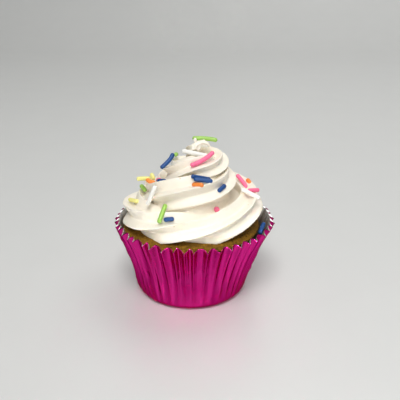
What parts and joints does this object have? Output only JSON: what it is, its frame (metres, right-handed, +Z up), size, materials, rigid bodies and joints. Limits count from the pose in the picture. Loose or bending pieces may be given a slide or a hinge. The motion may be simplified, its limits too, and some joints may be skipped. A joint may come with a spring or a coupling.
{
  "type": "frosted cupcake",
  "caption": "Small round cake in a pleated foil baking case, topped with a tall spiral of piped frosting and sugar strands.",
  "frame": {"origin": "centre of the case's flat underside, on the surface that the cupcake stands on", "axes": "+Z up along the case's axis; -Y towards the side shown; the rim is pulled open a little further on +X"},
  "size_m": [0.0732, 0.0732, 0.0689],
  "materials": {
    "foil": "magenta anodised foil, glossy, crinkled; silver inside",
    "sponge": "baked golden sponge, matte, fine crumb",
    "buttercream": "off-white whipped frosting, soft satin"
  },
  "bodies": {
    "root": {"case": "foil", "cake": "sponge", "frosting": "buttercream"}
  },
  "joints": []
}
